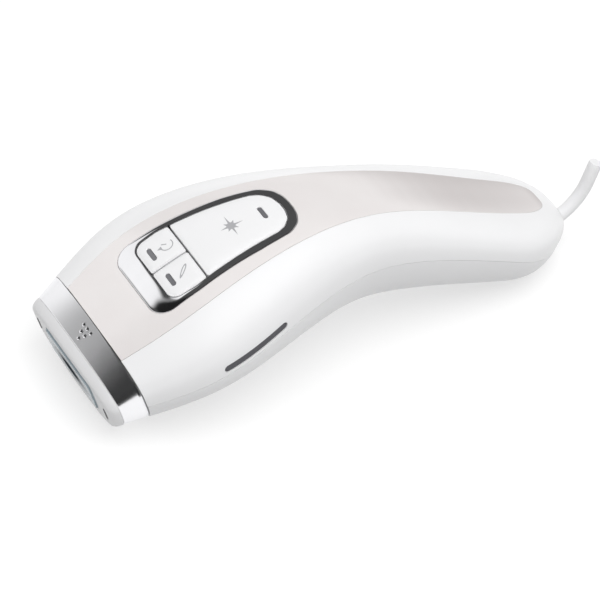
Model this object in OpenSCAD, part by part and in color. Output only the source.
// Corded pulsed-light hair remover, hand held.
// Frame: the origin is the centre of the treatment window's outer face, +X runs
// towards the tail, +Z is up, and the body is symmetric about the XZ plane.

/* [Body form] */
// Length of the curved centre line from collar to tail, mm
body_len = 187; // [183:0.5:191]
// Half width at nine even stations along the centre line, collar to tail, mm
half_width = [32, 39.7, 36.3, 28.9, 21.8, 22.3, 23.1, 22.8, 19.3]; // [18:0.1:42]
// Height of the roof above the seam at the same stations, mm
roof_rise = [12.9, 19, 20.6, 19, 16.3, 13.2, 11.2, 11.5, 14.3]; // [10:0.1:22]
// Depth of the keel below the seam at the same stations, mm
keel_drop = [16.1, 16.8, 19.6, 22.1, 22.6, 21.4, 19, 15.8, 11.8]; // [10:0.1:24]
// Heading of the centre line above level at the same stations, degrees
heading = [19.6, 21.6, 16.5, 5.9, -6.6, -16.1, -21.9, -24.5, -24]; // [-30:0.1:30]
// Squareness of the roof's cross section (2 is an ellipse)
roof_square = 3.18; // [2.8:0.02:3.4]
// Squareness of the keel's cross section (2 is an ellipse)
keel_square = 2.39; // [2.2:0.02:2.8]
// Wall thickness of both casings, mm
wall = 2.2; // [2:0.1:2.4]

/* [Treatment head] */
// Length of the metal collar along the head's axis, mm
collar_len = 8.6; // [7.5:0.1:9.5]
// Size of the collar's front edge as a share of its rear edge
collar_taper = 0.924; // [0.91:0.002:0.94]
// Extra fall of the head's roof per mm towards the face, mm
head_slope = 0.35; // [0.3:0.01:0.36]
// Distance from the collar's rear edge to the window's outer face, mm
face_out = 12.9; // [12.8:0.1:13.2]
// Drop of the window's centre below the seam plane, mm
face_drop = 1.6; // [1.4:0.1:1.8]
// Width of the treatment window, mm
window_w = 33; // [30:0.2:34]
// Height of the treatment window, mm
window_h = 12; // [10:0.2:12.4]
// Distance of each skin sensor from the middle of the face, mm
sensor_y = 24; // [23.8:0.1:24.4]

/* [Controls] */
// Slope of the control panel, degrees
panel_tilt = 15.6; // [15:0.1:16]
// Gap round and between the buttons, mm
button_gap = 0.3; // [0.25:0.05:0.4]
// Height of the buttons above the body's surface, mm
button_proud = 0.6; // [0.3:0.1:0.9]

/* [Decor strip] */
// Thickness of the pearl strip on the roof, mm
strip_thick = 1.4; // [1.2:0.1:1.5]
// Point on the centre line where the strip ends, as a share of its length
strip_end = 0.921; // [0.9:0.001:0.93]

/* [Cooling] */
// Length of each side air slot, mm
vent_len = 25.4; // [22:0.2:26]
// Height of each side air slot, mm
vent_h = 2.4; // [2:0.1:2.6]
// Radius of the blower's impeller, mm
impeller_r = 14; // [12:0.5:14]
// Number of impeller blades
blades = 11; // [7:1:13]

/* [Power cord] */
// Radius of the cord, mm
cord_r = 2.45; // [2.2:0.05:2.5]
// Radius of the cord's bend where it leaves the tail, mm
cord_bend = 20.5; // [20:0.5:21]
// Straight free end of the cord, mm
cord_end = 8.4; // [8:0.2:12]

/* [Hidden] */
NODES = ["upper_casing", "lower_casing", "decor_strip", "control_bezel", "button_carrier",
  "control_board", "switch_bases", "indicator_leds",
  "flash_button", "flash_lens", "flash_plunger",
  "mode_button", "mode_lens", "mode_plunger",
  "level_button", "level_lens", "level_plunger",
  "left_vent_grille", "right_vent_grille",
  "head_collar", "face_plate", "light_duct", "window_glass",
  "left_sensor_window", "right_sensor_window",
  "bulkhead", "skin_sensors", "head_clips", "lamp_housing", "uv_filter", "reflector",
  "lamp_tube", "lamp_electrodes", "lamp_holders", "trigger_wire",
  "heat_sink", "thermistor",
  "fan_housing", "fan_cover", "fan_bearing", "fan_rotor", "fan_shaft",
  "chassis", "main_board", "flash_capacitor", "trigger_transformer", "choke",
  "power_transistor", "casing_screws", "board_screws", "lamp_leads", "fan_lead",
  "dc_leads", "ribbon_cable", "strain_relief", "cord_clamp", "power_cord"];
node = "all";
$fn = 48;

// Colours shared by several pieces
off_white = [0.95, 0.95, 0.95];
charcoal = [0.2, 0.2, 0.22];
fan_black = [0.15, 0.15, 0.16];
steel = [0.7, 0.7, 0.72];
board_green = [0.1, 0.35, 0.2];

// Local frames: [x, z] places from the mouth, and pitches in degrees, rear end up
head_tilt = heading[0];
panel_at = [39, 34.8];
fan_at = [48, 9.2];
fan_tilt = 15;
vent_at = [36.9, 16.1];
vent_tilt = 18.6;
board_at = [110, 1.7];
board_tilt = -8.5;
cord_at = [168.1, -8];
cord_tilt = -8;
// Centre of the body's mouth on the seam, [x, z]
mouth = [face_out * cos(head_tilt) - face_drop * sin(head_tilt),
  face_out * sin(head_tilt) + face_drop * cos(head_tilt)];

// ---- Form functions: t is the share of the centre line's length ----
line_steps = 120;
// End roundings: [t where it starts, power of the curve]
width_cap = [0.844, 1.85];
depth_cap = [0.901, 2.22];
strip_cap = [0.862, 2.6];
least_size = 0.15;
// Bezier controls of the strip's edge angle, collar to tail
strip_angles = [63.26, 65.61, 80.07];

// cubic spline through evenly spaced controls
function spline(values, t) =
  let (last = len(values) - 1,
    knots = concat([2 * values[0] - values[1]], values, [2 * values[last] - values[last - 1]]),
    place = min(max(t, 0), 1) * last,
    i = min(floor(place), last - 1),
    part = place - i)
  (knots[i] * pow(1 - part, 3)
    + knots[i + 1] * (3 * part * part * part - 6 * part * part + 4)
    + knots[i + 2] * (-3 * part * part * part + 3 * part * part + 3 * part + 1)
    + knots[i + 3] * part * part * part) / 6;
// factor that closes a shape towards its end
function cap(t, shape, end = 1) =
  let (start = shape[0], power = shape[1])
  t <= start ? 1 : pow(max(1 - pow((t - start) / (end - start), power), 0), 1 / power);
// centre line as [x, z] points, integrated from its heading
function step_heading(i) = spline(heading, (i + 0.5) / line_steps);
centre_line = [for (i = 0, point = mouth; i <= line_steps;
    point = point + body_len / line_steps * [cos(step_heading(i)), sin(step_heading(i))],
    i = i + 1) point];
function line_at(t) =
  let (place = min(t, 1) * line_steps, i = min(max(floor(place), 0), line_steps - 1))
  centre_line[i] * (1 - place + i) + centre_line[i + 1] * (place - i);
function signed_pow(value, power) = sign(value) * pow(abs(value), power);
// [sideways, upward] point of a squared cross section
function section_pt(angle, half_w, roof, keel) =
  let (power = 2 / (sin(angle) >= 0 ? roof_square : keel_square))
  [half_w * signed_pow(cos(angle), power),
    (sin(angle) >= 0 ? roof : keel) * signed_pow(sin(angle), power)];
function body_size(values, t, shape, grow) =
  max(spline(values, t) * cap(t, shape) + grow, least_size);
// point of the body's surface, grown outwards
function body_pt(t, angle, grow) =
  let (base = line_at(t),
    turn = spline(heading, t),
    side = section_pt(angle, body_size(half_width, t, width_cap, grow),
      body_size(roof_rise, t, depth_cap, grow), body_size(keel_drop, t, depth_cap, grow)))
  [base.x - sin(turn) * side[1], side[0], base.y + cos(turn) * side[1]];
// section angle of the decor strip's +Y edge
function strip_edge(t) =
  let (edge = strip_angles[0] * (1 - t) * (1 - t) + strip_angles[1] * 2 * t * (1 - t)
      + strip_angles[2] * t * t)
  90 - (90 - edge) * cap(t, strip_cap, strip_end);
// number lists: even, and bunched towards the far end
function even(from, to, count) = [for (i = [0 : count]) from + (to - from) * i / count];
function bunch(from, to, count) =
  [for (i = [0 : count]) from + (to - from) * sin(90 * i / count)];
strip_stations = concat(even(0, 0.86, 30),
  [for (t = bunch(0.86, strip_end - 0.0008, 9)) if (t > 0.861) t]);
body_stations = concat(even(0, 0.8, 26), [for (t = bunch(0.8, 0.9995, 12)) if (t > 0.801) t]);
// size of the head at depth x as a share of the mouth
function taper(x) = 1 + (1 - collar_taper) * x / collar_len;
// head surface point at depth x, sized by a share of the mouth and grown
function head_pt(x, angle, share, grow) =
  let (side = section_pt(angle, half_width[0] * share + grow,
      roof_rise[0] * share + head_slope * min(x, 0) + grow, keel_drop[0] * share + grow))
  [x, side[0], side[1]];

// ---- Building blocks ----
// closed solid through a row of matching loops
module loft(loops) {
  rows = len(loops);
  sides = len(loops[0]);
  polyhedron(points = [for (loop = loops) each loop], convexity = 10, faces = concat(
    [[for (j = [0 : sides - 1]) j]],
    [for (i = [0 : rows - 2], j = [0 : sides - 1]) let (next = (j + 1) % sides) each [
      [i * sides + j, (i + 1) * sides + j, (i + 1) * sides + next],
      [i * sides + j, (i + 1) * sides + next, i * sides + next]]],
    [[for (j = [sides - 1 : -1 : 0]) (rows - 1) * sides + j]]));
}
module body_solid(stations, grow, sides)
  loft([for (t = stations) [for (j = [0 : sides - 1]) body_pt(t, 360 * j / sides, grow)]]);
// curved slab between listed section angles, from growth grow0 to grow1
module slab(stations, starts, ends, grow0, grow1, count)
  loft([for (i = [0 : len(stations) - 1])
    let (angles = [for (j = [0 : count]) starts[i] + (ends[i] - starts[i]) * j / count])
    concat(
      [for (j = [0 : count]) body_pt(stations[i], angles[j], grow1)],
      [for (j = [count : -1 : 0]) body_pt(stations[i], angles[j], grow0)])]);
module flat_slab(stations, start, end, grow0, grow1, count)
  slab(stations, [for (t = stations) start], [for (t = stations) end], grow0, grow1, count);
// slab along the decor strip, its edges moved out by some degrees
module strip_slab(stations, grow0, grow1, count, widen = 0)
  slab(stations, [for (t = stations) strip_edge(t) - widen],
    [for (t = stations) 180 - strip_edge(t) + widen], grow0, grow1, count);
// turns a set of curved solids into one mesh solid
module fused() resize([0, 0, 0]) children();
module box(low, high) translate(low) cube(high - low);
// box centred on the x axis; half is its [y, z] half size
module x_block(from, to, half) box([from, -half[0], -half[1]], [to, half[0], half[1]]);
module y_rod(radius, from, to)
  translate([0, from, 0]) rotate([-90, 0, 0]) cylinder(r = radius, h = to - from);
module x_rod(radius, from, to)
  translate([from, 0, 0]) rotate([0, 90, 0]) cylinder(r = radius, h = to - from);
module z_rod(radius, from, to) translate([0, 0, from]) cylinder(r = radius, h = to - from);
module both() {
  children();
  mirror([0, 1, 0]) children();
}
module at_each(points) for (p = points) translate([p.x, p.y, 0]) children();
// plate facing along x with rounded corners
module pad(from, to, width, height, corner) {
  x_block(from, to, [width / 2 - corner, height / 2]);
  x_block(from, to, [width / 2, height / 2 - corner]);
  for (y = [-1, 1], z = [-1, 1])
    translate([0, y * (width / 2 - corner), z * (height / 2 - corner)])
      x_rod(corner, from, to);
}
// round wire through a list of points
module wire(points, radius) {
  for (i = [0 : len(points) - 2])
    let (run = points[i + 1] - points[i], length = norm(run))
      translate(points[i]) rotate([0, acos(run.z / length), atan2(run.y, run.x)])
        cylinder(r = radius, h = length, $fn = 16);
  for (i = [1 : len(points) - 2]) translate(points[i]) sphere(r = 1.05 * radius, $fn = 16);
}
module screw(head_r, shank_r, length) {
  cylinder(r = head_r, h = 1.8);
  translate([0, 0, -length]) cylinder(r = shank_r, h = length + 0.5);
}

// ---- Local frames ----
module in_frame(place, pitch)
  translate([mouth.x + place.x, 0, mouth.y + place.y]) rotate([0, -pitch, 0]) children();
module in_head() in_frame([0, 0], head_tilt) children();
module in_panel() in_frame(panel_at, panel_tilt) children();
module in_fan() in_frame(fan_at, fan_tilt) children();
module in_vent() in_frame(vent_at, vent_tilt) children();
module in_board() in_frame(board_at, board_tilt) children();
module in_cord() in_frame(cord_at, cord_tilt) children();
// head frame, moved onto the window's axis
module on_axis(x = 0, y = 0) in_head() translate([x, y, -face_drop]) children();
// the same frames for single points
function frame_pt(place, pitch, x, y, z) = [
  mouth.x + place.x + x * cos(pitch) - z * sin(pitch), y,
  mouth.y + place.y + x * sin(pitch) + z * cos(pitch)];
function axis_pt(x, y, z) = frame_pt([0, 0], head_tilt, x, y, z - face_drop);
function board_pt(x, y, z) = frame_pt(board_at, board_tilt, x, y, z);
function cord_pt(x, y, z) = frame_pt(cord_at, cord_tilt, x, y, z);
function mouth_pt(x, y, z) = frame_pt([0, 0], 0, x, y, z);

// ---- Control panel outlines, in the panel's plane ----
// [x, y] points of the +Y half, front to rear
panel_edge = [[-24.6, 10.2], [-15, 10], [9, 7.6], [15.6, 6.55], [19.9, 5.7], [21.4, 4.6],
  [22, 3.2], [22.3, 1.2]];
keys_edge = [[-20, 10], [-15, 10.2], [0, 8.4], [14, 6.6], [17.6, 6], [19.5, 5.2],
  [21, 3.6], [21.6, 1.2]];
panel_corner = 6.5;
keys_corner = 4;
key_round = 0.8;
// x of the split between the two small keys and the flash button
key_split = -10.1;
module mirrored(points)
  polygon(concat(points, [for (i = [len(points) - 1 : -1 : 0]) [points[i].x, -points[i].y]]));
module panel_outline(grow = 0) offset(r = panel_corner + grow, $fn = 32) mirrored(panel_edge);
module keys_outline(grow = 0) offset(r = keys_corner + grow, $fn = 32) mirrored(keys_edge);
module rounded() offset(r = key_round, $fn = 20) offset(delta = -key_round) children();
module flash_outline() rounded() difference() {
  keys_outline();
  translate([-60 + key_split + button_gap, -30]) square([60, 60]);
}
module key_outline() rounded() difference() {
  keys_outline();
  translate([key_split - button_gap, -30]) square([60, 60]);
  translate([-60, -60 + button_gap]) square([90, 60]);
}
module panel_prism() in_panel() translate([0, 0, -30]) linear_extrude(50) children();
module panel_skin(grow0, grow1) flat_slab(even(0.08, 0.42, 14), 52, 128, grow0, grow1, 12);

// ---- Casings ----
// casing screws: [x, y] of each pair, and head seats' z, front and rear
screw_spots = [[73, 12.5], [150, 6.8]];
screw_seats = [22, 3];
// distance from a screw's seat down to the lower casing's boss
boss_drop = 4;
// half length of cuts that pass right across the body
across = 60;
module at_screws(drop = 0) both() for (i = [0, 1])
  translate([mouth.x + screw_spots[i].x, screw_spots[i].y, mouth.y + screw_seats[i] - drop])
    children();
module vent_shape(height, length) in_vent() {
  middle = (length - height) / 2;
  for (side = [-1, 1])
    translate([side * middle, 0, 0]) y_rod(height / 2, -across, across, $fn = 20);
  box([-middle, -across, -height / 2], [middle, across, height / 2]);
}
module upper_casing() color([0.96, 0.96, 0.96]) fused() difference() {
  union() {
    flat_slab(body_stations, 0, 180, -wall, 0, 24);
    // ledge under the decor strip
    strip_slab(even(0.006, strip_end, 26), -3.5, -1.2, 6, 4);
    intersection() {
      body_solid(body_stations, -wall / 2, 32);
      at_screws() z_rod(4, 0.1 - boss_drop, 30, $fn = 24);
    }
  }
  strip_slab(concat([-0.012], strip_stations), -strip_thick - 0.1, 3, 10, 0.35);
  panel_prism() panel_outline(0.12);
  vent_shape(vent_h + 0.1, vent_len + 0.1);
  at_screws() {
    z_rod(1.5, -8, 40, $fn = 20);
    z_rod(2.8, 0, 40, $fn = 24);
  }
  in_cord() cord_path(cord_r + 0.2, $fn = 24);
}
module lower_casing() color([0.94, 0.94, 0.94]) fused() difference() {
  union() {
    // angles run backwards here, so the growths are swapped to keep the faces outward
    flat_slab(body_stations, -0.1, -179.9, 0, -wall, 25);
    // screw bosses, and rests for the cord clamp, blower and chassis
    intersection() {
      body_solid(body_stations, -wall / 2, 32);
      union() {
        at_screws(boss_drop) z_rod(3.4, -40, 0, $fn = 24);
        in_cord() box([-9, -6.5, -20], [-3, 6.5, -5.3]);
        in_fan() both() box([-13, 13.5, -40], [-10, 16.5, -8.1]);
        in_board() both() box([-6, 9.6, -40], [-3, 12, -4.2]);
      }
    }
  }
  at_screws(boss_drop) z_rod(1.35, -9, 2, $fn = 20);
  in_cord() at_each([[-6, -4.6], [-6, 4.6]]) z_rod(1, -10, 0, $fn = 16);
}
module decor_strip() color([0.88, 0.86, 0.86]) fused() difference() {
  strip_slab([for (t = strip_stations) if (t < strip_end - 0.0015) t], -strip_thick, 0, 10);
  panel_prism() panel_outline(0.15);
}
bar_pitch = 2.05;
module grille(start, end) color([0.32, 0.32, 0.34]) fused() difference() {
  intersection() {
    flat_slab(even(0.12, 0.3, 8), start, end, -wall, -0.5, 8);
    vent_shape(vent_h - 0.02, vent_len - 0.02);
  }
  in_vent() for (i = [-5 : 5])
    translate([i * bar_pitch, 0, 0]) box([-0.65, -across, -0.6], [0.65, across, 0.6]);
}
// the left one is on the +Y side
module left_vent_grille() grille(0.3, 40);
module right_vent_grille() grille(140, 179.7);

// ---- Control panel ----
// rows of the two tables below; mode is on the +Y side, level on the -Y side
flash = 0;
mode = 1;
level = 2;
// [x, y] of each button's stem and lens
stem_spots = [[6, 0], [-15.5, 6.8], [-15.5, -6.8]];
lens_spots = [[18.4, 0], [-20.3, 6.6], [-20.3, -6.6]];
// [x, y] of the carrier's posts on the +Y side
post_spots = [[-9.3, 9.3], [17.5, 6.3]];
stem_end = -10.9;
plunger_len = 2;
carrier_z = -9.6;
panel_board_top = -15.2;
panel_board_thick = 1.2;
module control_bezel() color(charcoal) fused() difference() {
  intersection() {
    panel_skin(-3.6, 0.35);
    panel_prism() panel_outline();
  }
  panel_prism() keys_outline(button_gap);
}
module lens_block(i, gap = 0) in_panel() at_each([lens_spots[i]])
  box([-0.75 - gap, -2.9 - gap, -8 - gap], [0.75 + gap, 2.9 + gap, 6]);
// button with the outline given as its child
module button(i) color(off_white) fused() difference() {
  union() {
    intersection() {
      panel_skin(-3, button_proud);
      panel_prism() children();
    }
    in_panel() at_each([stem_spots[i]]) z_rod(1.6, stem_end, -2, $fn = 24);
  }
  lens_block(i, 0.05);
}
module lens(i) color([0.5, 0.5, 0.52]) fused() intersection() {
  panel_skin(-3.4, button_proud - 0.1);
  lens_block(i);
}
module plunger(i) color([0.15, 0.15, 0.15]) in_panel() at_each([stem_spots[i]])
  z_rod(1.75, stem_end - plunger_len, stem_end);
module flash_button() button(flash) flash_outline();
module mode_button() button(mode) key_outline();
module level_button() button(level) mirror([0, 1, 0]) key_outline();
module flash_lens() lens(flash);
module mode_lens() lens(mode);
module level_lens() lens(level);
module flash_plunger() plunger(flash);
module mode_plunger() plunger(mode);
module level_plunger() plunger(level);
module carrier_plan(inset) polygon([
  [-25 + inset, 12 - inset], [-16, 13 - inset], [8, 11 - inset], [24 - inset, 7 - inset],
  [24 - inset, -7 + inset], [8, -11 + inset], [-16, -13 + inset], [-25 + inset, -12 + inset]]);
module at_posts() both() at_each(post_spots) children();
module button_carrier() color([0.75, 0.75, 0.77]) in_panel() difference() {
  union() {
    translate([0, 0, carrier_z]) linear_extrude(1.4) carrier_plan(0);
    at_posts() z_rod(1.9, panel_board_top, carrier_z + 0.1);
  }
  at_each(stem_spots) z_rod(1.8, -12, -7);
  at_each(lens_spots) box([-1.6, -2, -12], [1.6, 2, -7]);
  at_posts() z_rod(0.8, -16, -11);
}
module control_board() color(board_green) in_panel() difference() {
  translate([0, 0, panel_board_top - panel_board_thick])
    linear_extrude(panel_board_thick) carrier_plan(1.2);
  at_posts() z_rod(1, -20, -10);
}
module switch_bases() color([0.2, 0.2, 0.2]) in_panel() at_each(stem_spots) difference() {
  box([-3, -3, panel_board_top], [3, 3, -11.8]);
  z_rod(1.8, -14.2, -11);
}
module indicator_leds() color([0.9, 0.9, 0.75]) in_panel() at_each(lens_spots)
  box([-0.8, -1.6, panel_board_top], [0.8, 1.6, panel_board_top + 0.8]);

// ---- Removable treatment head, lofted between depths along its axis ----
// [depth, share of the mouth's size] of the face plate's sections, front to rear
face_sections = [[-12.3, 0.8], [-12.16, 0.845], [-11.92, 0.873], [-11.66, 0.885],
  [-11.24, 0.897], [-10.64, 0.909], [-9.98, 0.9175], [-9.3, 0.9225],
  [-collar_len, collar_taper]];
// [x, y] of the raised dots on the collar's roof
collar_dots = [[-2.6, -2.4], [-2.6, 0], [-2.6, 2.4], [-4.5, -1.2], [-4.5, 1.2], [-6.4, 0]];
module head_solid(sections, grow, sides) in_head() loft([for (cut = sections)
  [for (j = [0 : sides - 1]) head_pt(cut[0], 360 * (j + 0.5) / sides, cut[1], grow)]]);
// the tongues that hold the head on, or with a gap their slots
module tongues(from, to, gap) both() box([from, 27 - gap, -4 - gap], [to, 28.2 + gap, 4 + gap]);
module head_collar() color([0.72, 0.72, 0.74]) fused() {
  difference() {
    head_solid([[-collar_len, collar_taper], [-0.35, taper(-0.35)]], 0, 72);
    head_solid([for (x = [-collar_len - 1, 1]) [x, taper(x)]], -1.6, 60);
  }
  in_head() {
    difference() {
      tongues(-7, 7, 0);
      both() box([4.4, 27.7, -3.2], [5.6, 30, 1.2]);
    }
    both() box([-8.2, 26.6, -4], [-5, 28.8, 2.4]);
    for (dot = collar_dots)
      translate([dot.x, dot.y, roof_rise[0] * taper(dot.x) + head_slope * dot.x])
        scale(0.5) sphere(1, $fn = 16);
  }
}
module face_plate() color(off_white) fused() difference() {
  head_solid(face_sections, 0, 60);
  head_solid([[-10.6, 0.86], [-10.1, 0.885], [-8, 0.93]], -1.7, 48);
  on_axis() {
    pad(-20, -5, window_w + 0.4, window_h + 0.4, 2.2, $fn = 24);
    both() translate([0, sensor_y, 0]) pad(-20, -5, 2.1, 5.7, 1, $fn = 20);
  }
}
module light_duct() color([0.8, 0.85, 0.88]) on_axis() difference() {
  x_block(-10.9, -7, [window_w / 2 - 1, window_h / 2 - 1]);
  x_block(-13, -6, [window_w / 2 - 2, window_h / 2 - 2]);
}
module window_glass() color([0.7, 0.82, 0.88]) on_axis()
  pad(-face_out, -11, window_w, window_h, 2);
module sensor_window(y) color(charcoal) on_axis(0, y) pad(-12.4, -10.3, 2, 5.6, 0.95);
module left_sensor_window() sensor_window(sensor_y);
module right_sensor_window() sensor_window(-sensor_y);

// ---- Light engine, fixed in the body's mouth ----
lamp_x = 5.5;
// [y, z] half sizes of the lamp housing and its cavity
housing_half = [20.5, 8.6];
cavity_half = [19.2, 7.4];
// half width of the parts inside the cavity
optic_y = cavity_half[0] - 0.1;
reflector_r = 7;
reflector_bore = 6.6;
sink_front = 16.6;
fin_pitch = 3.2;
module bulkhead() color(steel) in_head() difference() {
  // the edge is set in further along the roof's middle
  translate([0.8, 0, 0]) rotate([90, 0, 90]) linear_extrude(2)
    polygon([for (j = [0 : 71])
      let (p = head_pt(0, 5 * j, 1, abs(5 * j - 90) < 34 ? -3.7 : -2.45)) [p.y, p.z]]);
  translate([0, 0, -face_drop]) x_block(-5, 9, [20.7, 8.7]);
  tongues(-5, 9, 0.15);
}
module lamp_housing() color([0.85, 0.85, 0.83]) on_axis() difference() {
  union() {
    x_block(-6.5, 16.5, housing_half);
    both() box([2.85, 20.4, -5], [4.4, 25.6, 5]);
  }
  x_block(-7.5, 15, cavity_half);
  translate([lamp_x, 0, 0]) y_rod(1.4, -30, 30);
}
module uv_filter() color([0.9, 0.75, 0.5]) on_axis()
  x_block(-5.8, -3.8, cavity_half - [0.1, 0.1]);
module trough(radius, front, half_y) {
  translate([lamp_x, 0, 0]) y_rod(radius, -half_y, half_y);
  x_block(front, lamp_x, [half_y, radius]);
}
module reflector() color([0.85, 0.85, 0.86]) on_axis() difference() {
  trough(reflector_r, -3.7, optic_y);
  trough(reflector_bore, -5, 22);
}
module lamp_tube() color([0.9, 0.93, 0.96]) on_axis(lamp_x) difference() {
  y_rod(2.6, -17.2, 17.2);
  y_rod(1.9, -20, 20);
}
module lamp_electrodes() color([0.7, 0.7, 0.7]) on_axis(lamp_x) both() {
  y_rod(1.85, 13.7, 17.5);
  y_rod(0.6, 17.4, 22.8);
}
module lamp_holders() color([0.9, 0.9, 0.88]) on_axis(lamp_x) both() difference() {
  y_rod(4.2, 15, optic_y);
  y_rod(2.65, 14, 17.25);
  y_rod(1.9, 17, 17.7);
  y_rod(0.65, 17, 22);
}
module trigger_wire() color([0.75, 0.6, 0.4]) on_axis(lamp_x + 2.85) y_rod(0.2, -14.8, 14.8);
module skin_sensors() color([0.15, 0.15, 0.17]) on_axis() both() translate([0, 24.85, 0]) {
  box([-2.2, -1.6, -3.5], [0.75, 1.6, 3.5]);
  x_rod(1.3, -2.8, -2);
}
module head_clips() color([0.75, 0.75, 0.76]) in_head() both() {
  box([2.85, 28.45, -3], [7.5, 28.85, 1]);
  box([4.7, 27.9, -3], [5.3, 28.5, 1]);
}
module heat_sink() color([0.75, 0.76, 0.78]) on_axis() {
  box([sink_front, -20, -housing_half[1]], [18.2, 20, 1.4]);
  for (i = [-6 : 6]) translate([0, i * fin_pitch, 0])
    box([18.1, -0.5, -housing_half[1]], [24.6, 0.5, 1.4]);
}
module thermistor() color([0.2, 0.2, 0.2]) in_head() translate([sink_front, 12, 4.5])
  box([0, -1.5, -2.4], [1.6, 1.5, 0]);

// ---- Blower ----
fan_half = 17;
fan_floor = -5;
fan_rim = 4;
blade_top = 3.2;
module fan_housing() color(fan_black) in_fan() difference() {
  box([-fan_half, -fan_half, fan_floor], [fan_half, fan_half, fan_rim]);
  z_rod(impeller_r + 1, -4, 6);
  // openings in both sides and the front
  both() box([-11, 10, -3.5], [11, 20, 5]);
  box([-20, -11, -3.5], [-10, 11, 5]);
  z_rod(2.5, -6, -3);
}
module fan_cover() color(fan_black) in_fan() difference() {
  box([-fan_half, -fan_half, fan_rim], [fan_half, fan_half, fan_rim + 1]);
  z_rod(10.5, 3, 6);
}
module fan_bearing() color([0.8, 0.65, 0.35]) in_fan() difference() {
  z_rod(2.48, fan_floor, -2.4);
  z_rod(1.05, -6, -2);
}
module fan_rotor() color([0.25, 0.25, 0.27]) in_fan() difference() {
  union() {
    z_rod(5, -2.2, blade_top);
    z_rod(impeller_r, -2.2, -1.4);
    for (i = [0 : blades - 1])
      rotate([0, 0, 360 * i / blades]) translate([4.6, 0, 0]) rotate([0, 0, 18])
        box([0, -0.35, -1.6], [impeller_r - 5.2, 0.35, blade_top]);
  }
  z_rod(1, -3, 2);
}
module fan_shaft() color([0.75, 0.75, 0.76]) in_fan() z_rod(1, -4.9, 2);

// ---- Chassis and electronics ----
board_top = 0.8;
module at_board_posts() both() at_each([[-30, 5.5], [29.5, 5.5]]) children();
module chassis() color([0.6, 0.62, 0.65]) {
  in_fan() {
    box([-17, -10, -7.6], [20, 10, -5.1]);
    for (x = [-13, 10]) both() box([x, 8, -7.6], [x + 3, 17, -5.1]);
  }
  in_board() difference() {
    union() {
      both() box([-40.5, 3.5, -3.4], [31.5, 7, -1.2]);
      box([-42, -7, -3.4], [-39.5, 7, 1.8]);
      at_board_posts() z_rod(1.5, -3.4, -board_top);
    }
    at_board_posts() z_rod(0.8, -3, 0);
  }
}
module main_board() color(board_green) in_board() difference() {
  box([-32, -12.5, -board_top], [32, 12.5, board_top]);
  at_board_posts() z_rod(0.95, -2, 2);
}
module flash_capacitor() color([0.15, 0.2, 0.35]) in_board() translate([0, 0, 11.1]) {
  x_rod(10, -27, 5);
  x_rod(9.4, 4.9, 6);
}
module trigger_transformer() color([0.75, 0.6, 0.3]) in_board() {
  box([9, -6, board_top], [20, 6, 2.2]);
  box([10.5, -4.5, 2], [18.5, 4.5, 10]);
  translate([14.5, 0, 0]) z_rod(4, 9.9, 11.2);
}
module choke() color([0.35, 0.3, 0.28]) in_board() translate([24, -3, 0]) difference() {
  z_rod(3.6, board_top, 6.8);
  z_rod(1.3, 3, 8);
}
module power_transistor() color([0.15, 0.15, 0.15]) in_board() {
  box([21, 4.5, board_top], [25, 11, 8.5]);
  box([25, 4.5, board_top], [25.8, 11, 11]);
}
module casing_screws() color(steel) at_screws() difference() {
  screw(2.5, 1.25, 11.5);
  translate([0, 0, 0.8]) cylinder(r = 0.9, h = 2, $fn = 6);
}
module board_screws() color(steel) {
  in_board() at_board_posts() translate([0, 0, board_top]) screw(1.6, 0.75, 3.2);
  in_panel() at_posts() translate([0, 0, panel_board_top - panel_board_thick])
    mirror([0, 0, 1]) screw(1.6, 0.75, 4.5);
}

// ---- Wiring ----
module lamp_leads() color([0.7, 0.1, 0.1]) both() wire([
  axis_pt(lamp_x, 22.9, 0), axis_pt(lamp_x, 25.6, 0), axis_pt(16, 25.6, 0),
  mouth_pt(62, 19.2, 12), mouth_pt(67, 19.2, 13), mouth_pt(67, 6.5, 13),
  mouth_pt(77.5, 6.5, 12), board_pt(-30.5, 10, 4), board_pt(-30.5, 10, 0.9)], 0.7);
module fan_lead() color([0.1, 0.1, 0.1]) fused() wire([
  mouth_pt(65.3, 3.1, 12.8), mouth_pt(71, 3.1, 12),
  board_pt(-31, 3.1, 4), board_pt(-31, 3.1, 0.9)], 0.45);
module dc_leads() color([0.15, 0.15, 0.15]) both() wire([
  cord_pt(-11.6, 1.1, 0), cord_pt(-16, 1.3, 0),
  board_pt(30, 2, 4), board_pt(30, 2, 0.9)], 0.6);
// ribbon's middle line, [x, z], in the panel's frame and then in the board's
ribbon_top = [[18, -17], [22, -17.2], [25, -19], [26.2, -22]];
ribbon_foot = [[-33.4, 15], [-33.8, 8], [-32.8, 3], [-31, 1.1], [-28.5, 1.1]];
ribbon_w = 4.8;
ribbon_thick = 0.4;
ribbon_path = [for (p = concat(
    [for (spot = ribbon_top) frame_pt(panel_at, panel_tilt, spot.x, 0, spot.y)],
    [for (spot = ribbon_foot) board_pt(spot.x, 0, spot.y)])) [p.x, p.z]];
// a path shifted sideways
function shifted(path, shift) = [for (i = [0 : len(path) - 1])
  let (run = path[min(i + 1, len(path) - 1)] - path[max(i - 1, 0)], along = run / norm(run))
  path[i] + shift * [-along.y, along.x]];
module ribbon_cable() color([0.85, 0.85, 0.85]) {
  back = shifted(ribbon_path, -ribbon_thick / 2);
  translate([0, ribbon_w / 2, 0]) rotate([90, 0, 0]) linear_extrude(ribbon_w)
    polygon(concat(shifted(ribbon_path, ribbon_thick / 2),
      [for (i = [len(back) - 1 : -1 : 0]) back[i]]));
}

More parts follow.
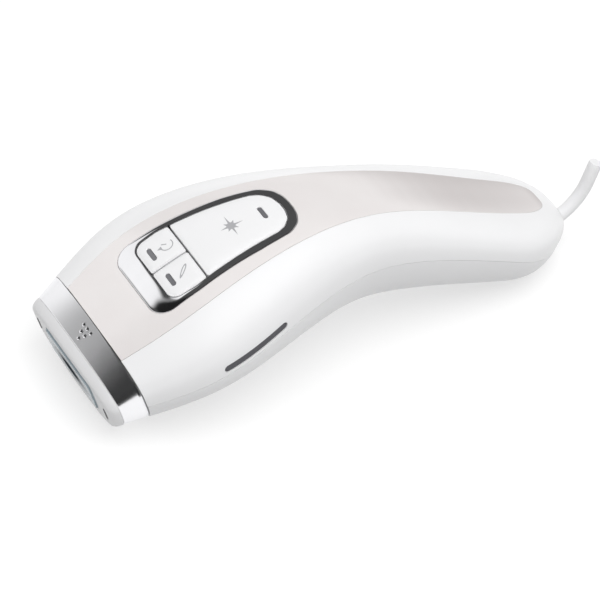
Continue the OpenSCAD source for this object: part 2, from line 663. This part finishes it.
// ---- Cord ----
cord_turn = 82;
module cord_path(radius) {
  x_rod(radius - 0.02, -11.5, 0.6);
  translate([0, 0, cord_bend]) rotate([90, 0, 0]) rotate([0, 0, -90])
    rotate_extrude(angle = cord_turn) translate([cord_bend, 0]) circle(r = radius);
  translate([cord_bend * sin(cord_turn), 0, cord_bend * (1 - cos(cord_turn))])
    rotate([0, -cord_turn, 0]) x_rod(radius - 0.02, -0.6, cord_end);
}
module strain_relief() color([0.85, 0.85, 0.85]) in_cord() difference() {
  union() {
    x_rod(3.7, -8.8, -0.6);
    x_rod(4.6, -3, -1.4);
  }
  x_rod(cord_r + 0.02, -12, 2);
}
module cord_clamp() color([0.6, 0.6, 0.62]) in_cord() difference() {
  union() {
    box([-8.2, -6.4, -5.2], [-3.8, 6.4, 0]);
    x_rod(5.2, -8.2, -3.8);
  }
  x_rod(3.75, -10, 0);
  at_each([[-6, -5.6], [-6, 5.6]]) z_rod(0.6, -10, 3);
}
module power_cord() color([0.9, 0.9, 0.9]) in_cord() cord_path(cord_r);

// ---- Nodes ----
function shown(name) = node == "all" || node == name;
if (shown("upper_casing")) upper_casing();
if (shown("lower_casing")) lower_casing();
if (shown("decor_strip")) decor_strip();
if (shown("control_bezel")) control_bezel();
if (shown("button_carrier")) button_carrier();
if (shown("control_board")) control_board();
if (shown("switch_bases")) switch_bases();
if (shown("indicator_leds")) indicator_leds();
if (shown("flash_button")) flash_button();
if (shown("flash_lens")) flash_lens();
if (shown("flash_plunger")) flash_plunger();
if (shown("mode_button")) mode_button();
if (shown("mode_lens")) mode_lens();
if (shown("mode_plunger")) mode_plunger();
if (shown("level_button")) level_button();
if (shown("level_lens")) level_lens();
if (shown("level_plunger")) level_plunger();
if (shown("left_vent_grille")) left_vent_grille();
if (shown("right_vent_grille")) right_vent_grille();
if (shown("head_collar")) head_collar();
if (shown("face_plate")) face_plate();
if (shown("light_duct")) light_duct();
if (shown("window_glass")) window_glass();
if (shown("left_sensor_window")) left_sensor_window();
if (shown("right_sensor_window")) right_sensor_window();
if (shown("bulkhead")) bulkhead();
if (shown("skin_sensors")) skin_sensors();
if (shown("head_clips")) head_clips();
if (shown("lamp_housing")) lamp_housing();
if (shown("uv_filter")) uv_filter();
if (shown("reflector")) reflector();
if (shown("lamp_tube")) lamp_tube();
if (shown("lamp_electrodes")) lamp_electrodes();
if (shown("lamp_holders")) lamp_holders();
if (shown("trigger_wire")) trigger_wire();
if (shown("heat_sink")) heat_sink();
if (shown("thermistor")) thermistor();
if (shown("fan_housing")) fan_housing();
if (shown("fan_cover")) fan_cover();
if (shown("fan_bearing")) fan_bearing();
if (shown("fan_rotor")) fan_rotor();
if (shown("fan_shaft")) fan_shaft();
if (shown("chassis")) chassis();
if (shown("main_board")) main_board();
if (shown("flash_capacitor")) flash_capacitor();
if (shown("trigger_transformer")) trigger_transformer();
if (shown("choke")) choke();
if (shown("power_transistor")) power_transistor();
if (shown("casing_screws")) casing_screws();
if (shown("board_screws")) board_screws();
if (shown("lamp_leads")) lamp_leads();
if (shown("fan_lead")) fan_lead();
if (shown("dc_leads")) dc_leads();
if (shown("ribbon_cable")) ribbon_cable();
if (shown("strain_relief")) strain_relief();
if (shown("cord_clamp")) cord_clamp();
if (shown("power_cord")) power_cord();
